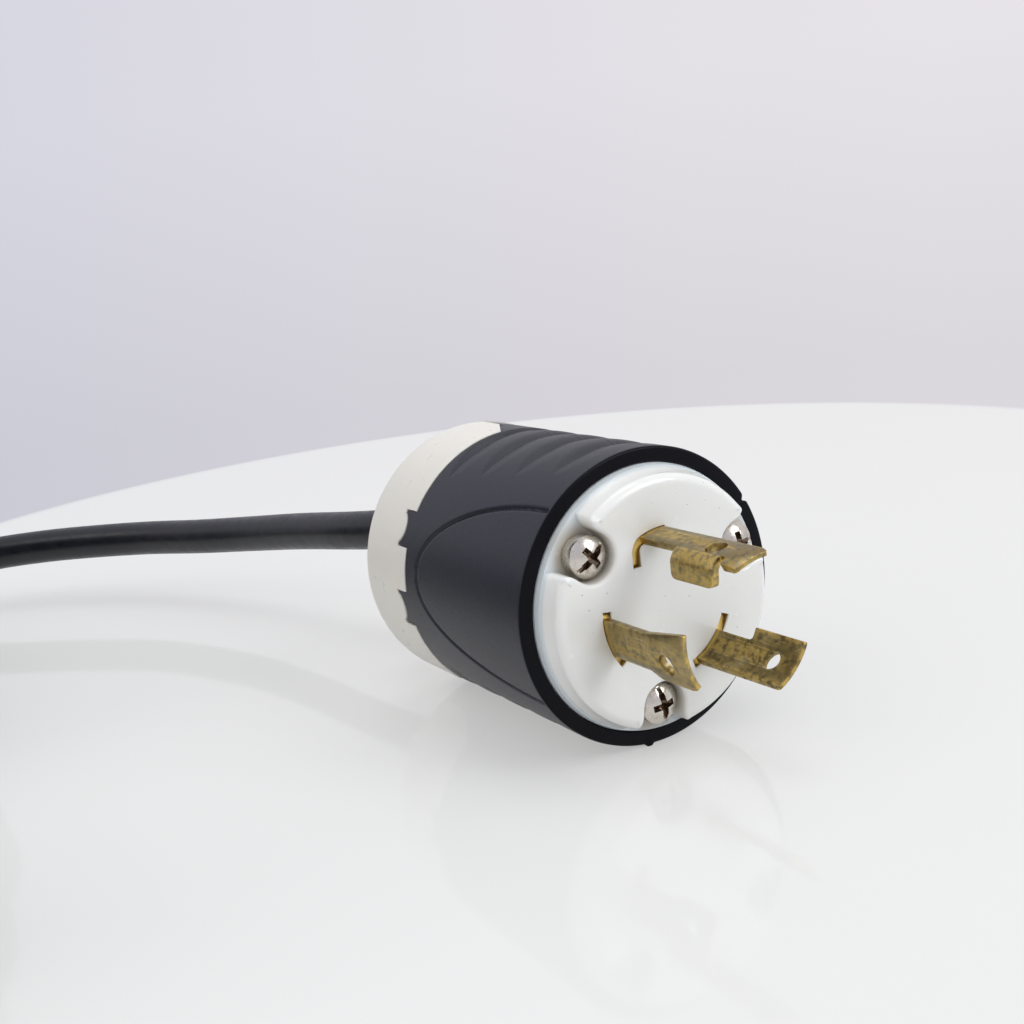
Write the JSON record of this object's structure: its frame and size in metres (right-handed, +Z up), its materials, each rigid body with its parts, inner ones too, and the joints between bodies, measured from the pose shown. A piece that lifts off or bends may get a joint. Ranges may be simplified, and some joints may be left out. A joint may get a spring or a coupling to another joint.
{
  "type": "shore power cord",
  "caption": "Shore power cord: a round three-blade locking plug with waved grips on a long black cord, coiled and tied, with a matching locking connector on its far end.",
  "frame": {"origin": "middle of the plug's footprint on the surface that it lies on", "axes": "+X to the right when the blades are looked at, -Y the way the blades point, +Z up; the cord leaves the plug towards +Y"},
  "size_m": [0.2695, 0.283, 0.0663],
  "materials": {
    "black_nylon": "satin moulded nylon with a faint grain and a glossy front rim",
    "white_nylon": "glossy moulded nylon, slightly translucent",
    "inner_nylon": "plain moulded nylon",
    "ivory_nylon": "semi-gloss ivory nylon",
    "brass": "bare brass, dulled by handling",
    "nickel_screw": "nickel-plated steel, semi-bright",
    "green_screw": "green-dyed steel",
    "copper": "bare stranded copper",
    "green_insulation": "smooth wire insulation",
    "black_insulation": "smooth wire insulation",
    "white_insulation": "smooth wire insulation",
    "seal_rubber": "soft grommet rubber",
    "strap_fabric": "woven hook-and-loop strap",
    "cord_jacket": "smooth flexible jacket with a slight sheen"
  },
  "bodies": {
    "root": {"body_shell": "black_nylon", "face_carrier": "white_nylon", "terminal_block": "inner_nylon", "rear_cap": "ivory_nylon", "ground_blade": "brass", "line_blade": "brass", "neutral_blade": "brass", "assembly_screws": "nickel_screw", "ground_terminal_screw": "green_screw", "line_terminal_screw": "brass", "neutral_terminal_screw": "nickel_screw", "ground_clamp_plate": "brass", "line_clamp_plate": "brass", "neutral_clamp_plate": "brass", "ground_wire": "green_insulation", "line_wire": "black_insulation", "neutral_wire": "white_insulation", "wire_strands": "copper", "cord_seal": "seal_rubber", "cord_end": "cord_jacket", "cord_run": "cord_jacket", "cord_coil": "cord_jacket", "coil_tie_near": "strap_fabric", "coil_tie_far": "strap_fabric", "cord_tail": "cord_jacket", "conn_shell": "black_nylon", "conn_face": "white_nylon", "conn_block": "inner_nylon", "conn_rear_cap": "ivory_nylon", "conn_ground_contact": "brass", "conn_line_contact": "brass", "conn_neutral_contact": "brass", "conn_assembly_screws": "nickel_screw", "conn_terminal_screws": "nickel_screw", "conn_clamp_plates": "brass", "conn_wires": "white_insulation", "conn_wire_strands": "copper", "conn_cord_seal": "seal_rubber", "conn_cord_end": "cord_jacket"},
    "clamp_jaw": {"clamp_jaw": "ivory_nylon"},
    "clamp_screw_left": {"clamp_screw_left": "nickel_screw"},
    "clamp_screw_right": {"clamp_screw_right": "nickel_screw"},
    "conn_clamp_jaw": {"conn_clamp_jaw": "ivory_nylon"},
    "conn_clamp_screw_left": {"conn_clamp_screw_left": "nickel_screw"},
    "conn_clamp_screw_right": {"conn_clamp_screw_right": "nickel_screw"}
  },
  "joints": [
    {"name": "clamp_open", "type": "slide", "parent": "root", "child": "clamp_jaw", "axis": [0, 0, 1], "range_m": [0, 0.004]},
    {"name": "clamp_screw_left_turn", "type": "hinge", "parent": "clamp_jaw", "child": "clamp_screw_left", "pos_m": [-0.0105, 0.04965, 0.0392], "axis": [0, 0, 1], "range_deg": [0, 1815]},
    {"name": "clamp_screw_right_turn", "type": "hinge", "parent": "clamp_jaw", "child": "clamp_screw_right", "pos_m": [0.0105, 0.04965, 0.0392], "axis": [0, 0, 1], "range_deg": [0, 1815]},
    {"name": "conn_clamp_open", "type": "slide", "parent": "root", "child": "conn_clamp_jaw", "axis": [0, 0, 1], "range_m": [0, 0.004]},
    {"name": "conn_clamp_screw_left_turn", "type": "hinge", "parent": "conn_clamp_jaw", "child": "conn_clamp_screw_left", "pos_m": [-0.21666, 0.02008, 0.0392], "axis": [0, 0, 1], "range_deg": [0, 1815]},
    {"name": "conn_clamp_screw_right_turn", "type": "hinge", "parent": "conn_clamp_jaw", "child": "conn_clamp_screw_right", "pos_m": [-0.20181, 0.03493, 0.0392], "axis": [0, 0, 1], "range_deg": [0, 1815]}
  ],
  "couplings": [
    {"joint": "clamp_screw_left_turn", "follows": "clamp_open", "rad_per_m": 7913.3},
    {"joint": "clamp_screw_right_turn", "follows": "clamp_open", "rad_per_m": 7913.3},
    {"joint": "conn_clamp_screw_left_turn", "follows": "conn_clamp_open", "rad_per_m": 7913.3},
    {"joint": "conn_clamp_screw_right_turn", "follows": "conn_clamp_open", "rad_per_m": 7913.3}
  ]
}
